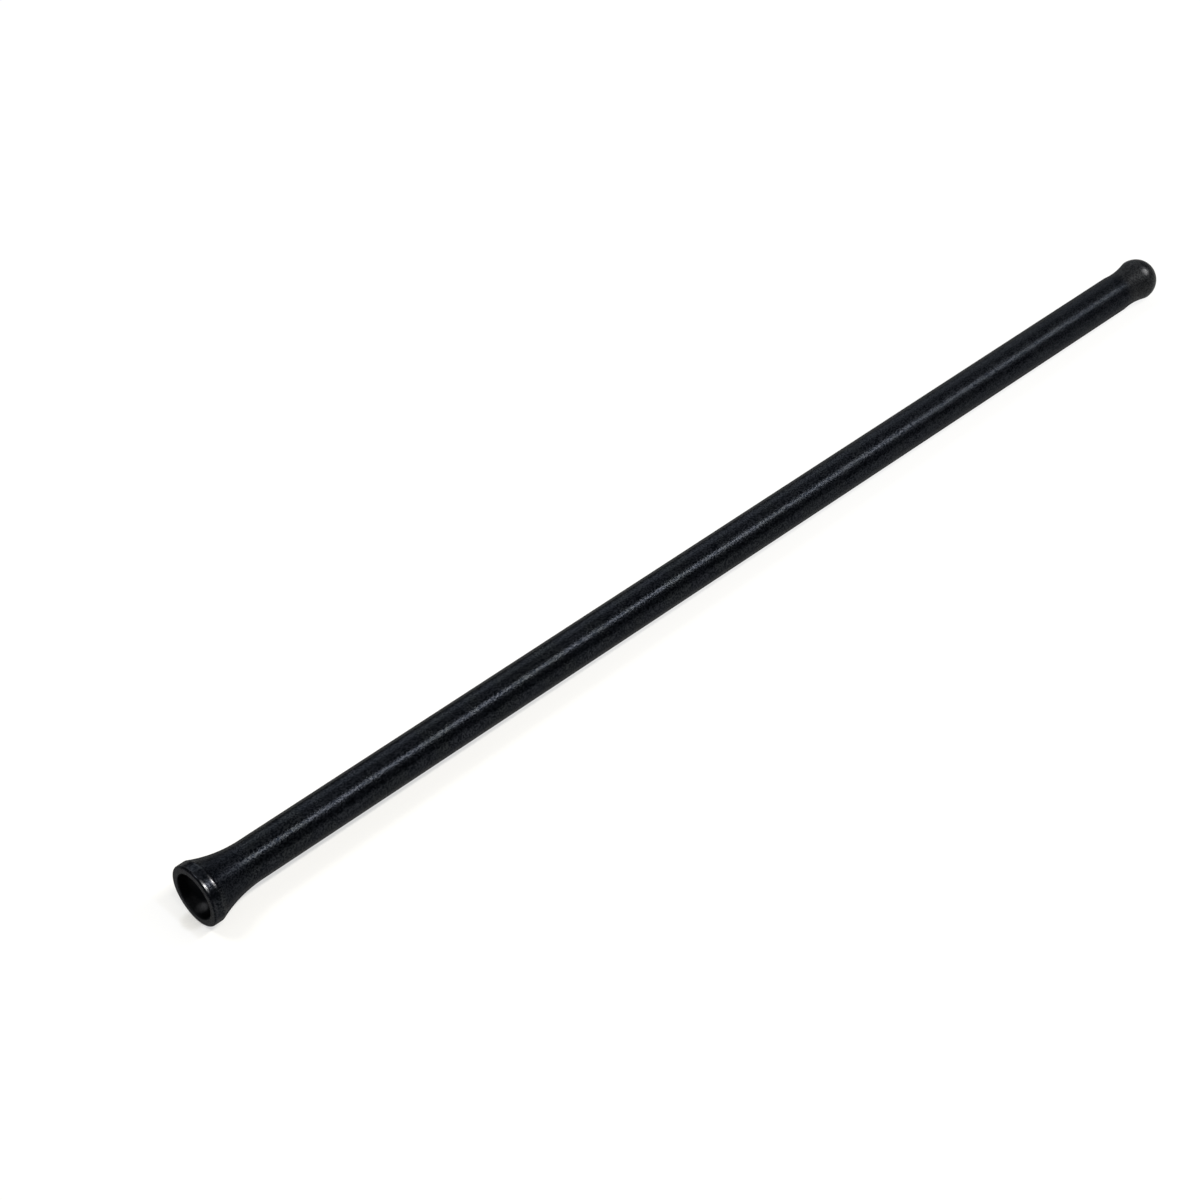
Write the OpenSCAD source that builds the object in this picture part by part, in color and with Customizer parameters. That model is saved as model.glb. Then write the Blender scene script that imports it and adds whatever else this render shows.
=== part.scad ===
// Engine pushrod: a solid round stem with a flared cup at one end and a ball foot at the other.
// It lies along X with the cup's mouth towards -X, and the origin is the centre of the cup's ball seat.

/* [Overall] */
// Length from the cup's rim to the tip of the foot
overall_len = 264; // [180:1:340]

/* [Stem] */
// Diameter of the round stem
stem_d = 8; // [7:0.1:8.6]

/* [Cup] */
// Outside diameter of the land, the straight band behind the cup's rim
cup_d = 12.2; // [11.6:0.1:14]
// Length of the land, from the rim to where its rear edge starts to turn
land_len = 2; // [1:0.1:3]
// Rounding of the rim's outer corner
rim_round = 0.4; // [0.1:0.05:0.6]
// Rounding of the land's rear edge, where it runs into the flare
shoulder_round = 0.65; // [0.4:0.05:2]
// Length of the flare, from the end of the land to the plain stem
flare_len = 10.5; // [8:0.1:16]

/* [Ball seat] */
// Diameter of the rocker screw's ball that works in the cup
ball_d = 9; // [7.5:0.05:9.4]
// Clearance round that ball, on the radius
ball_clearance = 0.1; // [0.02:0.01:0.15]
// Length of the straight wall between the round seat and the mouth's chamfer
seat_wall_len = 1; // [0.6:0.1:2]
// Chamfer round the mouth, equal along the axis and across it
mouth_chamfer = 0.1; // [0.05:0.05:0.3]

/* [Foot] */
// Diameter of the foot's dome, which works in the tappet
foot_d = 9; // [8.8:0.1:12]
// Depth of the shallow neck behind the foot, below the stem's surface
neck_depth = 0.14; // [0.04:0.02:0.3]
// Length of the hollow that rises from the bottom of the neck to the foot's rim
hollow_len = 5.12; // [4:0.01:9]

/* [Hidden] */
$fn = 160;
stem_r = stem_d / 2;
cup_r = cup_d / 2;
seat_r = ball_d / 2 + ball_clearance;
foot_r = foot_d / 2;
neck_r = stem_r - neck_depth;

// Seat: depth of its centre below the rim
seat_depth = mouth_chamfer + seat_wall_len;

// Flare: a round shoulder and a hollow arc that meet smoothly, the arc ending in line with the stem
flare_r = arc_radius(flare_len, cup_r - stem_r) - shoulder_round;
shoulder_mid = [cup_r - shoulder_round, land_len];
flare_mid = [stem_r + flare_r, land_len + flare_len];

// Foot: a dome, and a hollow arc that rises from the neck to the dome's widest point
dome_mid = [0, overall_len - foot_r];
hollow_r = arc_radius(hollow_len, foot_r - neck_r);
hollow_mid = [neck_r + hollow_r, dome_mid.y - hollow_len];

// Radius of an arc that starts level with the axis and rises by this much in this length
function arc_radius(run, rise) = (run * run + rise * rise) / (2 * rise);

// Half section of the straight band behind the rim, with the rim's outer corner rounded
module land_half() {
    square([cup_r - rim_round, land_len]);
    translate([0, rim_round]) square([cup_r, land_len - rim_round]);
    translate([cup_r - rim_round, rim_round]) circle(rim_round);
}

// Half section of the flare: the hollow arc, and the slice of the shoulder's round that leads into it
module flare_half() {
    difference() {
        polygon([[0, land_len], shoulder_mid, flare_mid, [0, flare_mid.y]]);
        translate(flare_mid) circle(flare_r);
    }
    intersection() {
        translate(shoulder_mid) circle(shoulder_round);
        polygon([shoulder_mid, [cup_r + shoulder_round, land_len], flare_mid]);
    }
}

// Half section of the stem and foot: the hollow cut into the stem's end and the dome beyond it
module stem_half() {
    difference() {
        union() {
            translate([0, flare_mid.y]) square([stem_r, hollow_mid.y - flare_mid.y]);
            translate([0, hollow_mid.y]) square([hollow_mid.x, hollow_len]);
        }
        translate(hollow_mid) circle(hollow_r);
    }
    translate(dome_mid) intersection() {
        circle(foot_r);
        square(foot_r);
    }
}

// Half section of the cup's hollow: chamfered mouth, straight wall and round seat
module seat_half() {
    polygon([[0, -1], [seat_r + mouth_chamfer + 1, -1], [seat_r, mouth_chamfer], [0, mouth_chamfer]]);
    square([seat_r, seat_depth]);
    translate([0, seat_depth]) intersection() {
        circle(seat_r);
        square(seat_r);
    }
}

// The whole rod, one forged and turned piece
module pushrod() {
    color("#202327")
        rotate([0, 90, 0])
            translate([0, 0, -seat_depth])
                rotate_extrude()
                    difference() {
                        union() {
                            land_half();
                            flare_half();
                            stem_half();
                        }
                        seat_half();
                    }
}

pushrod();
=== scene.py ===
"""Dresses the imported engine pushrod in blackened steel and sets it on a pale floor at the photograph's angle."""

import logging
import math
from collections.abc import Mapping, Sequence
from dataclasses import dataclass, field, replace
from enum import Enum
from functools import reduce
from typing import Any

import bpy
from mathutils import Matrix, Vector


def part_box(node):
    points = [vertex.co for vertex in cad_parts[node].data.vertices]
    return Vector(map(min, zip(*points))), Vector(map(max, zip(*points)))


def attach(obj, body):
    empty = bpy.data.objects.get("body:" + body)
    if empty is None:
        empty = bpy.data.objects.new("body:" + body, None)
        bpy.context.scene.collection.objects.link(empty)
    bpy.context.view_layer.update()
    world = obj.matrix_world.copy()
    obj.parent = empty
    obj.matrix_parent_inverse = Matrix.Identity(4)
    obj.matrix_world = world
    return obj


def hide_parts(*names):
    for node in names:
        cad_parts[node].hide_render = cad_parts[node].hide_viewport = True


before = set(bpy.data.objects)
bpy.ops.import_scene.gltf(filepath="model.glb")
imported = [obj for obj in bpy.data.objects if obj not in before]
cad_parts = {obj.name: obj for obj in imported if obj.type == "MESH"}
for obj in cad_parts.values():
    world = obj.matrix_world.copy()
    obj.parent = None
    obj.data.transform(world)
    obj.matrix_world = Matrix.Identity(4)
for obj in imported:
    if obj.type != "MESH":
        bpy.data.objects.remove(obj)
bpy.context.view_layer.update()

log = logging.getLogger("pushrod")

MM = 0.001
# Radii that the rod's parts share, in millimetres
STEM_R = 4.0
DOME_R = 4.5
# How far past an end of the rod a stretch of its finish is carried, in millimetres
PAST_END = 1.0
# The middle of a noise's values
NOISE_MID = 0.5

# A point of the half section, along the rod's axis and out from it, or another pair of lengths
Point = tuple[float, float]
# Red, green and blue in linear light
Colour = tuple[float, float, float]
# A place, a direction or factors, axis by axis
Triple = tuple[float, float, float]


class Ray(Enum):
    """The kinds of ray that see the floor at its full paleness."""

    CAMERA = "Is Camera Ray"
    GLOSSY = "Is Glossy Ray"
    TRANSMISSION = "Is Transmission Ray"


@dataclass(frozen=True)
class Ramp:
    """A smooth step between two values: start is its result up to low, and end its result from high on."""

    low: float
    high: float
    start: float = 0.0
    end: float = 1.0

    def moved(self, by: float) -> "Ramp":
        """The same step, further on by a value."""
        return replace(self, low=self.low + by, high=self.high + by)

    def scaled(self, by: float) -> "Ramp":
        """The same step over a multiple of its values."""
        return replace(self, low=self.low * by, high=self.high * by)


@dataclass(frozen=True)
class Pattern:
    """A noise in a surface."""

    # How many of its patches a millimetre holds along each axis
    patches: Triple
    # Octaves of finer noise on top of the first, and how strong each of them is
    detail: float
    roughness: float = 0.5


class Signal:
    """A shader value that adds a Math node for each operator it is used with."""

    def __init__(self, tree: bpy.types.NodeTree, socket: bpy.types.NodeSocket) -> None:
        """Wraps one output socket of a node in the tree."""
        self.tree = tree
        self.socket = socket

    def _math(self, operation: str, first: "Signal | float", second: "Signal | float") -> "Signal":
        """Adds one Math node.

        Args:
            operation: The Math node's operation.
            first: Its first value.
            second: Its second value.

        Returns:
            The node's result.
        """
        node = self.tree.nodes.new("ShaderNodeMath")
        node.operation = operation
        for socket, value in zip(node.inputs, (first, second)):
            if isinstance(value, Signal):
                self.tree.links.new(value.socket, socket)
            else:
                socket.default_value = value
        return Signal(self.tree, node.outputs[0])

    def __add__(self, other: "Signal | float") -> "Signal":
        """self + other."""
        return self._math("ADD", self, other)

    def __radd__(self, other: "Signal | float") -> "Signal":
        """other + self."""
        return self._math("ADD", other, self)

    def __sub__(self, other: "Signal | float") -> "Signal":
        """self - other."""
        return self._math("SUBTRACT", self, other)

    def __rsub__(self, other: "Signal | float") -> "Signal":
        """other - self."""
        return self._math("SUBTRACT", other, self)

    def __mul__(self, other: "Signal | float") -> "Signal":
        """self * other."""
        return self._math("MULTIPLY", self, other)

    def __rmul__(self, other: "Signal | float") -> "Signal":
        """other * self."""
        return self._math("MULTIPLY", other, self)

    def __pow__(self, other: "Signal | float") -> "Signal":
        """self ** other."""
        return self._math("POWER", self, other)

    def highest(self, other: "Signal | float") -> "Signal":
        """The greater of the two values."""
        return self._math("MAXIMUM", self, other)


class ShaderTree:
    """Adds nodes to the tree of one material or world."""

    def __init__(self, owner: bpy.types.Material | bpy.types.World) -> None:
        """Clears the owner's tree.

        Args:
            owner: The material or world that the nodes are for.
        """
        owner.use_nodes = True
        self.tree = owner.node_tree
        self.tree.nodes.clear()

    def add(self, kind: str, settings: Mapping[str, Any] | None = None, **inputs: Any) -> bpy.types.Node:
        """Adds a node.

        Args:
            kind: The node's type.
            settings: Its own properties, set before its sockets.
            inputs: A value, a Signal or a socket for each input, by the input's identifier, or its name with _ for
                each space. A colour is three numbers.

        Returns:
            The new node.
        """
        node = self.tree.nodes.new(kind)
        for name, value in (settings or {}).items():
            setattr(node, name, value)
        for name, value in inputs.items():
            label = name.replace("_", " ")
            socket = next(s for s in node.inputs if s.enabled and (s.name == label or s.identifier == name))
            source = value.socket if isinstance(value, Signal) else value
            if isinstance(source, bpy.types.NodeSocket):
                self.tree.links.new(source, socket)
            else:
                socket.default_value = (*source, 1.0) if socket.type == "RGBA" else source
        return node

    def value(self, node: bpy.types.Node, output: str) -> Signal:
        """One output of a node, ready for use in an expression."""
        return Signal(self.tree, node.outputs[output])

    def stretch(self, place: bpy.types.NodeSocket, factors: Triple) -> bpy.types.NodeSocket:
        """A place multiplied axis by axis."""
        return self.add("ShaderNodeMapping", Vector=place, Scale=factors).outputs["Vector"]

    def place(self) -> bpy.types.NodeSocket:
        """The place on the object, in millimetres."""
        metres = self.add("ShaderNodeTexCoord").outputs["Object"]
        return self.stretch(metres, (1 / MM, 1 / MM, 1 / MM))

    def noise(self, place: bpy.types.NodeSocket, pattern: Pattern) -> Signal:
        """Adds a noise texture.

        Args:
            place: Where it is read, in millimetres.
            pattern: Its patches and detail.

        Returns:
            Its value, from 0 to 1.
        """
        node = self.add(
            "ShaderNodeTexNoise",
            {"noise_dimensions": "3D"},
            Vector=self.stretch(place, pattern.patches),
            Scale=1.0,
            Detail=pattern.detail,
            Roughness=pattern.roughness,
        )
        return self.value(node, "Fac")

    def step(self, signal: Signal, ramp: Ramp) -> Signal:
        """Adds a smooth step.

        Args:
            signal: The value that is read.
            ramp: The values where the step starts and ends, and its results.

        Returns:
            The stepped value.
        """
        settings = {"interpolation_type": "SMOOTHSTEP", "clamp": True}
        span = {"From_Min": ramp.low, "From_Max": ramp.high, "To_Min": ramp.start, "To_Max": ramp.end}
        return self.value(self.add("ShaderNodeMapRange", settings, Value=signal, **span), "Result")

    def tint(
        self, factor: Signal, first: Colour | bpy.types.NodeSocket, second: Colour | bpy.types.NodeSocket
    ) -> bpy.types.NodeSocket:
        """Adds a colour mix.

        Args:
            factor: The share of the second colour.
            first: The one colour.
            second: The other colour.

        Returns:
            The mixed colour's socket.
        """
        node = self.add("ShaderNodeMix", {"data_type": "RGBA", "clamp_factor": True}, Factor=factor, A=first, B=second)
        return next(s for s in node.outputs if s.enabled)

    def surface(self, shader: bpy.types.Node) -> None:
        """Links a shader to the material's output."""
        self.add("ShaderNodeOutputMaterial", Surface=shader.outputs[0])


def straight(start: Point, end: Point, steps: int) -> list[Point]:
    """Points along a straight line.

    Args:
        start: Where it starts, which isn't among the points.
        end: Where it ends.
        steps: How many points it gets.

    Returns:
        The points, evenly spaced.
    """
    return [tuple(a + (b - a) * i / steps for a, b in zip(start, end)) for i in range(1, steps + 1)]


def arc(middle: Point, radius: float, start: float, end: float, steps: int) -> list[Point]:
    """Points along an arc.

    Args:
        middle: The arc's centre.
        radius: Its radius.
        start: The angle of its start from the axis, in degrees, which isn't among the points.
        end: The angle of its end.
        steps: How many points it gets.

    Returns:
        The points, evenly spaced.
    """
    turns = (math.radians(start + (end - start) * i / steps) for i in range(1, steps + 1))
    return [(middle[0] + radius * math.cos(turn), middle[1] + radius * math.sin(turn)) for turn in turns]


def rising_radius(run: float, rise: float) -> float:
    """Radius of an arc that starts level with the axis and rises by this much over this run."""
    return (run**2 + rise**2) / (2 * rise)


def lean(start: Point, end: Point) -> float:
    """The angle from the axis of the line from one point to another, in degrees."""
    return math.degrees(math.atan2(end[1] - start[1], end[0] - start[0]))


def eased(before: Point, corner: Point, after: Point, radius: float, steps: int = 4) -> list[Point]:
    """Points round a corner that is eased by a small radius.

    Args:
        before: A point that the line comes from.
        corner: The sharp corner.
        after: A point that the line goes on to.
        radius: The easing's radius.
        steps: How many spans the easing gets.

    Returns:
        The points from where the line leaves its straight to where it takes up the next.
    """
    here = Vector(corner)
    back, on = (Vector(before) - here).normalized(), (Vector(after) - here).normalized()
    half = back.angle(on) / 2
    middle = here + (back + on).normalized() * radius / math.sin(half)
    run = radius / math.tan(half)
    first, last = here + back * run - middle, here + on * run - middle
    swing = first.angle_signed(last)
    return [tuple(middle + Matrix.Rotation(-swing * i / steps, 2) @ first) for i in range(steps + 1)]


@dataclass(frozen=True)
class Tone:
    """How the black came out on a stretch of the rod."""

    roughness: float
    # The black where it is thick and where it is thin, and how far the stem's own colour gives way to it
    coat: Colour
    coat_thin: Colour
    share: float
    # How much of the glancing dullness is polished off, how much deeper the turning marks are, and how oily it is
    polish: float = 0.0
    marks: float = 0.0
    oil: float = 0.0


@dataclass(frozen=True)
class Stretch:
    """A stretch of the rod whose black came out unlike the stem's."""

    tone: Tone
    # Where along the axis it starts, is at its full, begins to fade and has ended, in millimetres
    start: float
    full: float
    fade: float
    end: float

    def cover(self, tree: ShaderTree, along: Signal) -> Signal:
        """Marks the stretch.

        Args:
            tree: The material's tree.
            along: The place along the rod's axis, in millimetres.

        Returns:
            How much the stretch counts there, from 0 to 1.
        """
        rising = tree.step(along, Ramp(self.start, self.full))
        return rising * tree.step(along, Ramp(self.fade, self.end, 1.0, 0.0))


@dataclass(frozen=True)
class RubbedEdge:
    """An edge where handling has rubbed the black away, whose bare steel the material keeps mostly to the side that
    mirrors the strip lamp, as a painted highlight.
    """

    # Its place in the half section and the width of the worn band, in millimetres, and how bare it is
    along: float
    reach: float
    width: float
    share: float

    def band(self, tree: ShaderTree, along: Signal, reach: Signal) -> Signal:
        """Marks the worn band.

        Args:
            tree: The material's tree.
            along: The place along the rod's axis, in millimetres.
            reach: The distance from the axis, in millimetres.

        Returns:
            The share of bare steel there, from 0 to 1.
        """
        back, out = along - self.along, reach - self.reach
        return tree.step((back * back + out * out) ** 0.5, Ramp(0.0, self.width, self.share, 0.0))


@dataclass(frozen=True)
class BlackenedSteel:
    """Black oxide on steel: satin, slightly blue and grainy, with rubbed edges whose bare steel is kept mostly to the
    side that mirrors the strip lamp as a painted highlight, a dark seat with a painted pool of light on its lower
    wall, and specks of dust.

    Stretches of the rod may have their own tint, roughness, depth of turning marks and film of oil.
    """

    name: str = "black_steel"
    # The black where it is thick, and where it is thin, bluish or olive
    coat: Colour = (0.0026, 0.0034, 0.005)
    coat_thin: Colour = (0.0206, 0.0224, 0.0268)
    coat_olive: Colour = (0.0209, 0.0229, 0.0248)
    # The steel under it, bared on the rubbed edges and kept mostly to the side that mirrors the strip lamp as a
    # painted highlight, the ball seat and a painted pool of light on its lower wall, the matt scale, and the dust
    bare: Colour = (0.19, 0.19, 0.193)
    seat: Colour = (0.015, 0.0155, 0.0165)
    seat_lit_patch: Colour = (0.06, 0.06, 0.062)
    scale: Colour = (0.013, 0.014, 0.0155)
    dust: Colour = (0.16, 0.16, 0.155)
    # The metal's tint where it is seen edge on
    edge_tint: Colour = (0.57, 0.57, 0.57)
    metallic: float = 1.0
    roughness: float = 0.235
    roughness_swing: float = 0.18
    roughness_rubbed: float = 0.24
    roughness_seat: float = 0.42
    roughness_dust: float = 0.7
    roughness_oil: float = 0.5
    oil_ior: float = 1.33
    # How much of the film of oil lies even, where the grain doesn't break it up
    oil_even: float = 0.5
    # How far a face turns away before the scale swallows its reflection, and how much of it goes
    dull: Ramp = Ramp(0.6, 0.85, end=0.9)

    # The turning marks, the grain, the mottling, the long sweeps and the olive patches
    rings: Pattern = Pattern((5.0, 0.12, 0.12), 3.0, 0.6)
    grain: Pattern = Pattern((3.0, 3.0, 3.0), 3.0, 0.6)
    mottle: Pattern = Pattern((0.32, 0.32, 0.32), 4.0, 0.6)
    sweep: Pattern = Pattern((0.05, 0.25, 0.25), 2.0)
    olive: Pattern = Pattern((0.16, 0.16, 0.16), 2.0)
    # Heights of the marks, in millimetres, and the share of the grain's that rubbing takes off
    ring_height: float = 0.008
    grain_height: float = 0.036
    sweep_height: float = 0.03
    rubbed_smooth: float = 0.7
    # Where the grain and the mottling leave the black thin, how much of that is the grain's, and where it is olive
    thin_grain: Ramp = Ramp(0.44, 0.56)
    thin_mottle: Ramp = Ramp(0.35, 0.7)
    thin_by_grain: float = 0.85
    olive_patch: Ramp = Ramp(0.42, 0.62)

    # The side whose edges mirror the strip lamp, as a direction across the axis, and how squarely a place looks that
    # way:
    # the bare steel is kept mostly there, so that the worn edges paint the highlight's stars; and the mottling that
    # breaks the wear up
    glint_side: Point = (-0.545, 0.839)
    glint_turn: Ramp = Ramp(0.965, 0.996, start=0.07)
    worn_patch: Ramp = Ramp(0.3, 0.75, start=0.6)
    # How far the seat's finish reaches past the seat's radius, out from the axis and along it, in millimetres
    seat_out: Ramp = Ramp(0.03, 0.08, 1.0, 0.0)
    seat_along: Ramp = Ramp(0.2, 0.6, 1.0, 0.0)
    # A painted pool of light on the seat's lower wall, where light falls in through the mouth, as a direction from the
    # seat's centre and a share of its radius
    seat_lit_side: Triple = (0.13, 0.11, -0.985)
    seat_lit_turn: Ramp = Ramp(0.957, 0.998)
    # Cells of dust to the millimetre, and the size of the speck in a cell
    dust_cells: float = 0.13
    dust_speck: Ramp = Ramp(0.014, 0.026, 1.0, 0.0)

    def material(
        self, edges: Sequence[RubbedEdge], seat_r: float, stretches: Sequence[Stretch]
    ) -> bpy.types.Material:
        """Makes the material.

        Args:
            edges: The edges where handling has rubbed the black away, whose bare steel also paints highlights on the
                side that mirrors the strip lamp.
            seat_r: The radius of the cup's seat, which is about the origin, in millimetres.
            stretches: The stretches that differ from the stem.

        Returns:
            The finished material.
        """
        material = bpy.data.materials.new(self.name)
        tree = ShaderTree(material)
        place = tree.place()
        parts = tree.add("ShaderNodeSeparateXYZ", Vector=place)
        along, side, up = (tree.value(parts, axis) for axis in "XYZ")
        reach = (side * side + up * up) ** 0.5
        patterns = (self.rings, self.grain, self.mottle, self.sweep, self.olive)
        rings, grain, mottle, sweep, olive = (tree.noise(place, pattern) for pattern in patterns)

        # What covers the black, or changes it, at each place
        # Bare steel on the rubbed edges, kept mostly to the side that mirrors the strip lamp: partly wear, partly a
        # painted highlight
        turned = (side * self.glint_side[0] + up * self.glint_side[1]) * reach**-1.0
        bare = reduce(Signal.highest, [edge.band(tree, along, reach) for edge in edges])
        rubbed_and_glint = tree.step(turned, self.glint_turn) * (bare * tree.step(mottle, self.worn_patch))
        inside = tree.step(reach, self.seat_out.moved(seat_r)) * tree.step(along, self.seat_along.moved(seat_r))
        # A painted pool of light on the seat's lower wall
        toward = along * self.seat_lit_side[0] + side * self.seat_lit_side[1] + up * self.seat_lit_side[2]
        lit_patch = tree.step(toward, self.seat_lit_turn.scaled(seat_r))
        cells = {"voronoi_dimensions": "3D", "feature": "F1"}
        specks = tree.add("ShaderNodeTexVoronoi", cells, Vector=place, Scale=self.dust_cells)
        dusty = tree.step(tree.value(specks, "Distance"), self.dust_speck)
        covers = [(stretch.tone, stretch.cover(tree, along)) for stretch in stretches]
        marks = sum(cover * tone.marks for tone, cover in covers)
        polish = sum(cover * tone.polish for tone, cover in covers)
        oil = sum(cover * tone.oil for tone, cover in covers)

        # Colour
        thin = tree.step(grain, self.thin_grain) * self.thin_by_grain
        thin = thin + tree.step(mottle, self.thin_mottle) * (1.0 - self.thin_by_grain)
        thinned = tree.tint(tree.step(olive, self.olive_patch), self.coat_thin, self.coat_olive)
        colour = tree.tint(thin, self.coat, thinned)
        for tone, cover in covers:
            colour = tree.tint(cover * tone.share, colour, tree.tint(thin, tone.coat, tone.coat_thin))
        # The seat, with a painted pool of light on its lower wall
        colour = tree.tint(inside, colour, tree.tint(lit_patch, self.seat, self.seat_lit_patch))
        # Bare steel: partly wear, partly a painted highlight where it mirrors the strip lamp
        colour = tree.tint(rubbed_and_glint, colour, self.bare)
        colour = tree.tint(dusty, colour, self.dust)

        # Roughness and relief
        swing = self.roughness_swing
        rough = self.roughness + (grain - NOISE_MID) * swing + (mottle - NOISE_MID) * swing
        rough = rough + rubbed_and_glint * (self.roughness_rubbed - self.roughness)
        rough = rough + inside * (self.roughness_seat - self.roughness)
        rough = rough + dusty * (self.roughness_dust - self.roughness)
        rough = rough + sum(cover * (tone.roughness - self.roughness) for tone, cover in covers)
        height = rings * (marks + 1.0) * self.ring_height + sweep * self.sweep_height
        height = height + grain * (1.0 - self.rubbed_smooth * rubbed_and_glint) * self.grain_height
        normal = tree.add("ShaderNodeBump", Strength=1.0, Distance=MM, Height=height).outputs["Normal"]

        steel = tree.add(
            "ShaderNodeBsdfPrincipled",
            Base_Color=colour,
            Metallic=self.metallic,
            Roughness=rough,
            Specular_Tint=self.edge_tint,
            Coat_Weight=oil * (thin + self.oil_even),
            Coat_Roughness=self.roughness_oil,
            Coat_IOR=self.oil_ior,
            Normal=normal,
        ).outputs["BSDF"]
        scale = tree.add("ShaderNodeBsdfDiffuse", Color=self.scale, Normal=normal).outputs["BSDF"]
        facing = tree.value(tree.add("ShaderNodeLayerWeight"), "Facing")
        dull = tree.step(facing, self.dull) * (1.0 - polish)
        tree.surface(tree.add("ShaderNodeMixShader", Fac=dull, Shader=steel, Shader_001=scale))
        return material


@dataclass(frozen=True)
class PaleFloor:
    """Matt white floor that the camera and reflections see a little paler than the lamps alone make it."""

    name: str = "pale_floor"
    colour: Colour = (0.985, 0.957, 0.875)
    glow: Colour = (1.0, 1.0, 1.0)
    glow_strength: float = 1.0
    # Share of the glow along the axis, in millimetres, from the cup to the foot, where the shadow fades out
    rod_share: Ramp = Ramp(20.0, 200.0, 0.6, 0.86)
    # Share of the glow along the axis, from in front of the cup up to it
    front_share: Ramp = Ramp(-4.0, -2.9, 0.85, 0.6)
    # Where the cup touches the floor, and how much of that share is left from there outwards, so that the rod's own
    # shadow shows deeper round the cup
    contact: Triple = (-1.7, 0.5, -6.12)
    contact_share: Ramp = Ramp(1.4, 2.7, 0.5, 1.0)
    # How far from the cup the floor goes over to the glow alone
    clear_share: Ramp = Ramp(400.0, 1200.0)

    def material(self) -> bpy.types.Material:
        """Makes the material, which keeps the rod's shadow.

        Returns:
            The finished material.
        """
        material = bpy.data.materials.new(self.name)
        tree = ShaderTree(material)
        place = tree.place()
        along = tree.value(tree.add("ShaderNodeSeparateXYZ", Vector=place), "X")
        away = tree.add("ShaderNodeVectorMath", {"operation": "LENGTH"}, Vector=place)
        near = tree.add("ShaderNodeVectorMath", {"operation": "DISTANCE"}, Vector=place, Vector_001=self.contact)
        path = tree.add("ShaderNodeLightPath")
        camera, glossy, through = (tree.value(path, ray.value) for ray in Ray)

        share = tree.step(along, self.rod_share).highest(tree.step(along, self.front_share))
        share = share * tree.step(tree.value(near, "Value"), self.contact_share)
        share = share.highest(tree.step(tree.value(away, "Value"), self.clear_share))
        share = (camera + glossy + through) * share
        matt = tree.add("ShaderNodeBsdfDiffuse", Color=self.colour).outputs["BSDF"]
        glow = tree.add("ShaderNodeEmission", Color=self.glow, Strength=self.glow_strength).outputs["Emission"]
        tree.surface(tree.add("ShaderNodeMixShader", Fac=share, Shader=matt, Shader_001=glow))
        return material


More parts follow.
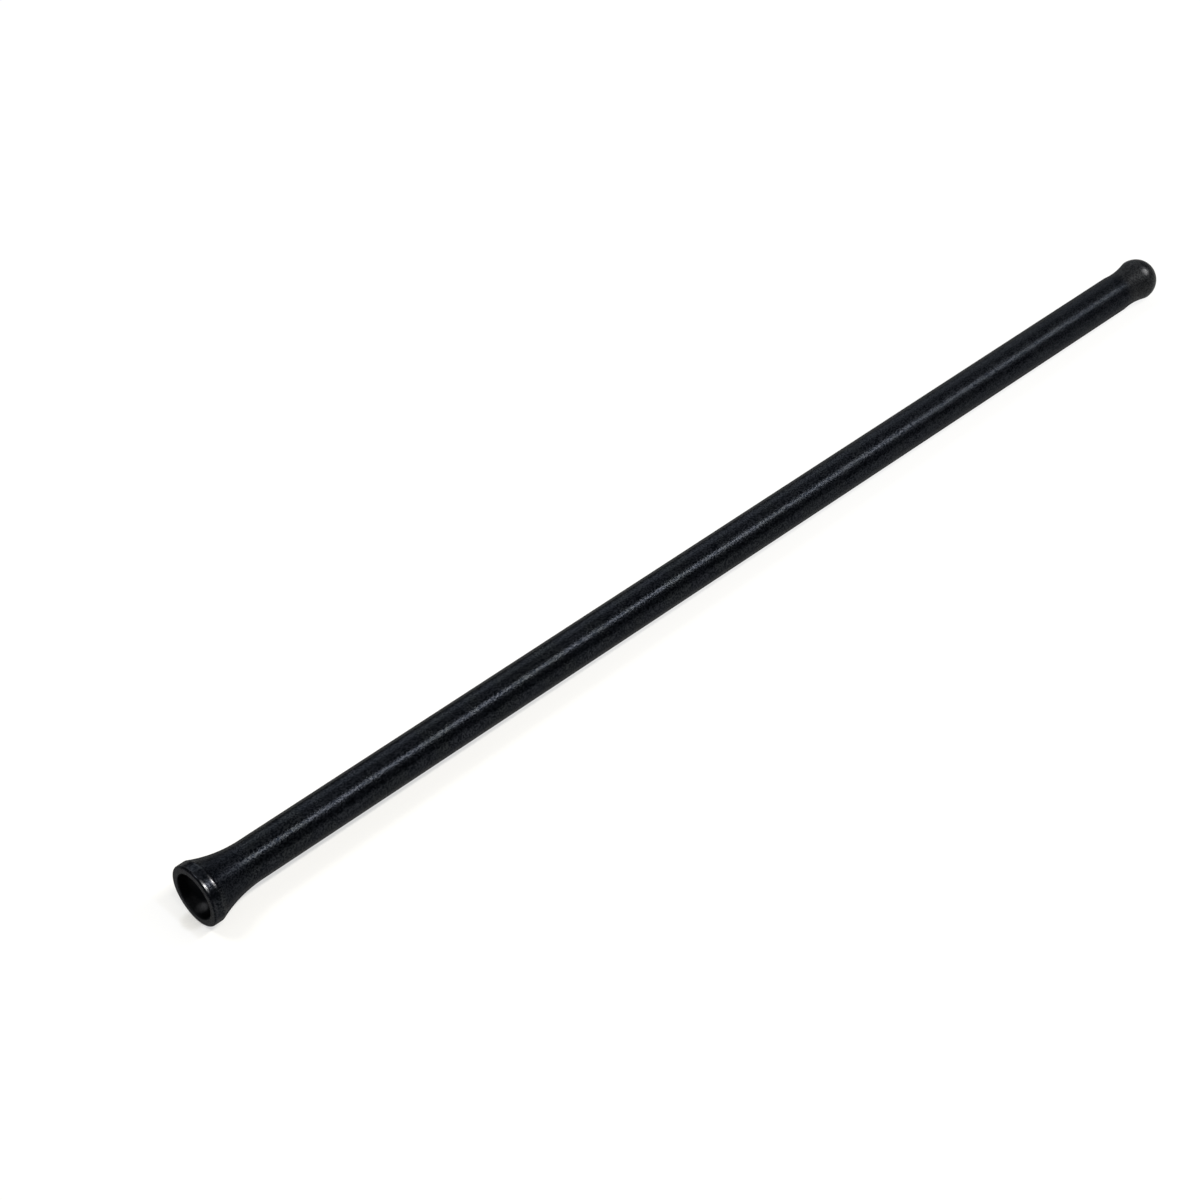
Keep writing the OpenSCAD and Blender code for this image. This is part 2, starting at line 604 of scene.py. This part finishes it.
@dataclass
class Cup:
    """The cup at the rocker's end: ball seat, chamfered mouth, flat lip, land and flare, in millimetres."""

    rim_x: float
    land_r: float
    stem_r: float
    seat_r: float = 4.6
    mouth_chamfer: float = 0.1
    mouth_ease: float = 0.05
    rim_round: float = 0.4
    land_len: float = 2.0
    shoulder_round: float = 0.65
    flare_len: float = 10.5
    # How many points each length of the outline gets
    seat_steps: int = 30
    wall_steps: int = 4
    chamfer_steps: int = 3
    lip_steps: int = 6
    rim_steps: int = 6
    land_steps: int = 5
    shoulder_steps: int = 8
    flare_steps: int = 40
    # The rubbed edges, whose bare steel also paints the highlight's stars on the side that mirrors the strip lamp: how
    # far past the rim's round and past the land they lie, their width, and how bare they are
    rim_wear_in: float = 0.05
    rear_wear_in: float = 0.1
    wear_width: float = 0.34
    rim_wear: float = 1.0
    rear_wear: float = 0.8
    # The lip's darker black, and where behind the rim it begins to fade and has ended
    lip_tone: Tone = Tone(0.3, (0.0017, 0.0022, 0.0032), (0.0134, 0.0146, 0.0172), share=1.0)
    lip_fade: float = 0.1
    lip_end: float = 0.35
    # The flare's duller black, how far past the land it starts, how long it takes to set in and to fade
    flare_tone: Tone = Tone(0.36, (0.002, 0.0027, 0.0042), (0.0162, 0.0178, 0.0215), share=1.0, marks=1.0)
    flare_dull_in: float = 0.4
    flare_dull_rise: float = 1.0
    flare_dull_fade: float = 5.0

    @property
    def land_end(self) -> float:
        """Where the land ends and its rear edge starts to turn."""
        return self.rim_x + self.land_len

    @property
    def flare_end(self) -> float:
        """Where the flare has run into the stem."""
        return self.land_end + self.flare_len

    @property
    def edges(self) -> list[RubbedEdge]:
        """The edges that handling rubs, which also carry painted highlights.

        Returns:
            The rim's outer corner and the land's rear edge.
        """
        rim_x, rear_x = self.rim_x + self.rim_round + self.rim_wear_in, self.land_end + self.rear_wear_in
        return [
            RubbedEdge(rim_x, self.land_r, self.wear_width, self.rim_wear),
            RubbedEdge(rear_x, self.land_r, self.wear_width, self.rear_wear),
        ]

    @property
    def stretches(self) -> list[Stretch]:
        """The finish's stretches here.

        Returns:
            The darker lip, and the flare, which was hardened and so came out duller.
        """
        rim, rear, end = self.rim_x, self.land_end + self.flare_dull_in, self.flare_end
        return [
            Stretch(self.lip_tone, rim - 2 * PAST_END, rim - PAST_END, rim + self.lip_fade, rim + self.lip_end),
            Stretch(self.flare_tone, rear, rear + self.flare_dull_rise, end - self.flare_dull_fade, end),
        ]

    def half_section(self) -> list[Point]:
        """Draws the cup's outline.

        Returns:
            Its points from the seat's pole to the end of the flare.
        """
        mouth_r = self.seat_r + self.mouth_chamfer
        wall_x = self.rim_x + self.mouth_chamfer
        inner = eased((0.0, self.seat_r), (wall_x, self.seat_r), (self.rim_x, mouth_r), self.mouth_ease)
        outer = eased((wall_x, self.seat_r), (self.rim_x, mouth_r), (self.rim_x, self.land_r), self.mouth_ease)
        rim_mid = (self.rim_x + self.rim_round, self.land_r - self.rim_round)
        land_start, land_end = (rim_mid[0], self.land_r), (self.land_end, self.land_r)

        flare_r = rising_radius(self.flare_len, self.land_r - self.stem_r) - self.shoulder_round
        shoulder_mid = (self.land_end, self.land_r - self.shoulder_round)
        flare_mid = (self.flare_end, self.stem_r + flare_r)
        turn = lean(shoulder_mid, flare_mid)

        points = [(self.seat_r, 0.0)] + arc((0.0, 0.0), self.seat_r, 0.0, 90.0, self.seat_steps)
        points += straight(points[-1], inner[0], self.wall_steps) + inner[1:]
        points += straight(points[-1], outer[0], self.chamfer_steps) + outer[1:]
        points += straight(points[-1], (self.rim_x, rim_mid[1]), self.lip_steps)
        points += arc(rim_mid, self.rim_round, 180.0, 90.0, self.rim_steps)
        points += straight(land_start, land_end, self.land_steps)
        points += arc(shoulder_mid, self.shoulder_round, 90.0, turn, self.shoulder_steps)
        points += arc(flare_mid, flare_r, turn - 180.0, -90.0, self.flare_steps)
        return points


@dataclass
class Foot:
    """The foot at the tappet's end: a shallow neck, a hollow rising to the rim, and a dome, in millimetres."""

    middle_x: float
    dome_r: float
    stem_r: float
    neck_depth: float = 0.14
    hollow_len: float = 5.12
    rim_ease: float = 0.5
    # How many points the hollow and the dome get
    hollow_steps: int = 36
    dome_steps: int = 40
    # The rubbed rim, whose bare steel also paints a spot of highlight on the side that mirrors the strip lamp: how far
    # before the dome it lies, its width, and how bare it is
    rim_wear_in: float = 0.35
    rim_wear_width: float = 0.9
    rim_wear: float = 0.32
    # The hardened foot's black, matt in the hollow and smoother on the dome, and how long each takes to set in
    hollow_tone: Tone = Tone(
        roughness=0.6,
        coat=(0.005, 0.0054, 0.006),
        coat_thin=(0.0205, 0.0211, 0.0217),
        share=0.75,
        polish=0.6,
        marks=1.0,
        oil=0.27,
    )
    dome_tone: Tone = replace(hollow_tone, roughness=0.38, polish=0.85, oil=0.4)
    neck_fade: float = 2.5
    rim_fade: float = 1.6

    @property
    def hollow_r(self) -> float:
        """Radius of the hollow's arc."""
        return rising_radius(self.hollow_len, self.dome_r - self.stem_r + self.neck_depth)

    @property
    def hollow_mid(self) -> Point:
        """Centre of the hollow's arc."""
        return (self.middle_x - self.hollow_len, self.stem_r - self.neck_depth + self.hollow_r)

    @property
    def neck_start(self) -> float:
        """Where the hollow's arc leaves the stem."""
        drop = self.hollow_mid[1] - self.stem_r
        return self.hollow_mid[0] - math.sqrt(self.hollow_r**2 - drop**2)

    @property
    def edges(self) -> list[RubbedEdge]:
        """The edge that the tappet rubs: the foot's rim, which also carries a painted highlight."""
        return [RubbedEdge(self.middle_x - self.rim_wear_in, self.dome_r, self.rim_wear_width, self.rim_wear)]

    @property
    def stretches(self) -> list[Stretch]:
        """The finish's stretches here.

        Returns:
            The hollow from the neck to the rim, and the dome.
        """
        neck, rim, tip = self.neck_start, self.middle_x, self.middle_x + self.dome_r
        return [
            Stretch(self.hollow_tone, neck, neck + self.neck_fade, rim - self.rim_fade, rim),
            Stretch(self.dome_tone, rim - self.rim_fade, rim, tip + PAST_END, tip + 2 * PAST_END),
        ]

    def half_section(self) -> list[Point]:
        """Draws the foot's outline.

        Returns:
            Its points from the start of the neck to the dome's pole.
        """
        start = lean(self.hollow_mid, (self.neck_start, self.stem_r))
        end = lean(self.hollow_mid, (self.middle_x, self.dome_r))
        hollow = arc(self.hollow_mid, self.hollow_r, start, end, self.hollow_steps)
        dome = arc((self.middle_x, 0.0), self.dome_r, 90.0, 0.0, self.dome_steps)
        return hollow[:-1] + eased(hollow[-2], hollow[-1], dome[0], self.rim_ease) + dome


@dataclass
class Pushrod:
    """The whole rod, one forged and turned piece along X, in millimetres."""

    cup: Cup
    foot: Foot
    stem_r: float
    finish: BlackenedSteel = field(default_factory=BlackenedSteel)
    node: str = "pushrod"
    # The far part of the stem, which is a little rougher and a little lighter, and where that starts and is at its
    # full
    far_tone: Tone = Tone(0.325, (0.003, 0.004, 0.0058), (0.0241, 0.0262, 0.0308), share=0.6)
    far_from: float = 100.0
    far_full: float = 220.0
    # The mesh: length between the stem's rings, sides round the axis, the gap that is welded, and the angle in
    # degrees up to which an edge is smooth
    ring_pitch: float = 3.0
    sides: int = 192
    weld: float = 0.001
    smooth_angle: float = 40.0

    def half_section(self) -> list[Point]:
        """Draws the rod's outline.

        Returns:
            Its points from the seat's pole to the tip of the foot.
        """
        start, end = (self.cup.flare_end, self.stem_r), (self.foot.neck_start, self.stem_r)
        rings = round((end[0] - start[0]) / self.ring_pitch)
        return self.cup.half_section() + straight(start, end, rings) + self.foot.half_section()

    def build(self) -> bpy.types.Object:
        """Draws the half section vertex by vertex and spins it about the rod's axis.

        Returns:
            The rod, at rest in the CAD frame.
        """
        places = [Vector((x, 0.0, r)) * MM for x, r in self.half_section()]
        bpy.ops.object.select_all(action="DESELECT")
        bpy.ops.mesh.primitive_plane_add(size=MM, enter_editmode=True, location=(0.0, 0.0, 0.0))
        rod = bpy.context.object
        rod.name = f"{self.node}_dressed"
        bpy.ops.mesh.merge(type="CENTER")
        bpy.ops.transform.translate(value=places[0])
        for before, after in zip(places, places[1:]):
            bpy.ops.mesh.extrude_vertices_move(TRANSFORM_OT_translate={"value": after - before})
        bpy.ops.mesh.select_all(action="SELECT")
        bpy.ops.mesh.spin(steps=self.sides, angle=math.tau, center=(0.0, 0.0, 0.0), axis=(1.0, 0.0, 0.0))
        bpy.ops.mesh.select_all(action="SELECT")
        bpy.ops.mesh.remove_doubles(threshold=self.weld * MM)
        bpy.ops.mesh.normals_make_consistent(inside=False)
        bpy.ops.object.mode_set(mode="OBJECT")
        bpy.ops.object.shade_smooth_by_angle(angle=math.radians(self.smooth_angle))
        return rod

    def dress(self, rod: bpy.types.Object) -> None:
        """Gives the rod its finish and its place in the frame.

        Args:
            rod: The rod as build left it.
        """
        edges = (*self.cup.edges, *self.foot.edges)
        neck = self.foot.neck_start
        far = Stretch(self.far_tone, self.far_from, self.far_full, neck, neck + self.foot.neck_fade)
        stretches = (*self.cup.stretches, far, *self.foot.stretches)
        rod.data.materials.append(self.finish.material(edges, self.cup.seat_r, stretches))
        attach(rod, "root")
        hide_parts(self.node)


@dataclass
class Floor:
    """The floor that the rod lies on, touching its land and its dome, whose places are in millimetres."""

    land_x: float
    land_r: float
    dome_x: float
    dome_r: float
    # Its width, in metres, and the cuts across it
    span: float = 16.0
    cuts: int = 3
    finish: PaleFloor = field(default_factory=PaleFloor)

    def build(self) -> bpy.types.Object:
        """Lays the floor, which rises a little towards the foot because the cup is wider.

        Returns:
            The floor.
        """
        tilt = math.asin((self.land_r - self.dome_r) / (self.dome_x - self.land_x))
        bpy.ops.object.select_all(action="DESELECT")
        bpy.ops.mesh.primitive_plane_add(size=self.span, enter_editmode=True, location=(0.0, 0.0, 0.0))
        floor = bpy.context.object
        floor.name = "floor"
        bpy.ops.mesh.subdivide(number_cuts=self.cuts)
        bpy.ops.mesh.select_all(action="SELECT")
        bpy.ops.transform.rotate(value=tilt, orient_axis="Y", center_override=(0.0, 0.0, 0.0))
        bpy.ops.transform.translate(value=Vector((self.land_x, 0.0, -self.land_r)) * MM)
        bpy.ops.object.mode_set(mode="OBJECT")
        floor.data.materials.append(self.finish.material())
        return floor


@dataclass(frozen=True)
class SoftBox:
    """A flat lamp, turned to face its aim, in metres and watts."""

    name: str
    place: Triple
    aim: Triple
    size: Point
    power: float
    colour: Colour = (1.0, 1.0, 1.0)

    def build(self) -> bpy.types.Object:
        """Adds the lamp.

        Returns:
            The lamp, with its long side level.
        """
        data = bpy.data.lights.new(self.name, "AREA")
        data.shape = "RECTANGLE"
        data.size, data.size_y = self.size
        data.energy = self.power
        data.color = self.colour
        lamp = bpy.data.objects.new(self.name, data)
        bpy.context.collection.objects.link(lamp)
        toward = (Vector(self.aim) - Vector(self.place)).normalized()
        level = Vector((1.0, 0.0, 0.0))
        across = toward.cross(level).normalized()
        turn = Matrix((level, across, -toward)).transposed().to_4x4()
        lamp.matrix_world = Matrix.Translation(self.place) @ turn
        return lamp


@dataclass
class Studio:
    """The lamps, the even light of the room, and the camera at the photograph's place."""

    # The camera's place, aim, lens and sensor, in millimetres
    camera_place: Triple = (-178.037, -284.961, 368.201)
    camera_aim: Triple = (101.937, 6.244, 0.0)
    lens: float = 85.5
    sensor: float = 36.0
    # The nearest and the furthest that it sees, in metres
    clip: Point = (0.01, 50.0)
    room: Colour = (0.195, 0.21, 0.235)
    lamps: tuple[SoftBox, ...] = (
        SoftBox("strip", (0.65, -0.53, 0.97), (0.65, 0.0, 0.0), (1.9, 0.11), 17.4, (1.0, 0.985, 0.96)),
        SoftBox("back", (1.1, 1.18, 0.92), (1.1, 0.0, 0.0), (1.6, 0.95), 7.8, (0.95, 0.98, 1.0)),
        SoftBox("top", (-0.36, 0.42, 1.17), (0.0, 0.0, 0.0), (0.3, 0.3), 5.0, (0.98, 0.985, 1.0)),
        SoftBox("ceiling", (1.0, 0.28, 1.35), (1.0, 0.1, 0.0), (1.5, 0.7), 1.6),
    )

    def light(self) -> None:
        """Adds the lamps and the room's light."""
        for lamp in self.lamps:
            lamp.build()
        world = bpy.data.worlds.new("room")
        bpy.context.scene.world = world
        tree = ShaderTree(world)
        room = tree.add("ShaderNodeBackground", Color=self.room, Strength=1.0)
        tree.add("ShaderNodeOutputWorld", Surface=room.outputs[0])
        bpy.context.scene.view_settings.view_transform = "Standard"

    def shoot(self) -> bpy.types.Object:
        """Sets up the camera.

        Returns:
            The scene's camera.
        """
        data = bpy.data.cameras.new("camera")
        data.lens, data.sensor_width, data.sensor_fit = self.lens, self.sensor, "HORIZONTAL"
        data.clip_start, data.clip_end = self.clip
        camera = bpy.data.objects.new("camera", data)
        bpy.context.collection.objects.link(camera)
        place, aim = Vector(self.camera_place) * MM, Vector(self.camera_aim) * MM
        turn = (aim - place).to_track_quat("-Z", "Y").to_matrix().to_4x4()
        camera.matrix_world = Matrix.Translation(place) @ turn
        bpy.context.scene.camera = camera
        return camera


def main() -> None:
    """Builds and dresses the rod, then sets the studio round it."""
    low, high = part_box("pushrod")
    cup = Cup(rim_x=low[0] / MM, land_r=high[2] / MM, stem_r=STEM_R)
    foot = Foot(middle_x=high[0] / MM - DOME_R, dome_r=DOME_R, stem_r=STEM_R)
    rod = Pushrod(cup=cup, foot=foot, stem_r=STEM_R)
    piece = rod.build()
    rod.dress(piece)
    log.info("%s: %d faces", piece.name, len(piece.data.polygons))

    floor = Floor(land_x=cup.land_end, land_r=cup.land_r, dome_x=foot.middle_x, dome_r=foot.dome_r)
    log.info("%s laid", floor.build().name)
    studio = Studio()
    studio.light()
    log.info("%d lamps", len(studio.lamps))
    log.info("%s set", studio.shoot().name)


if __name__ == "__main__":
    logging.basicConfig(level=logging.INFO, format="%(name)s: %(message)s")
    main()
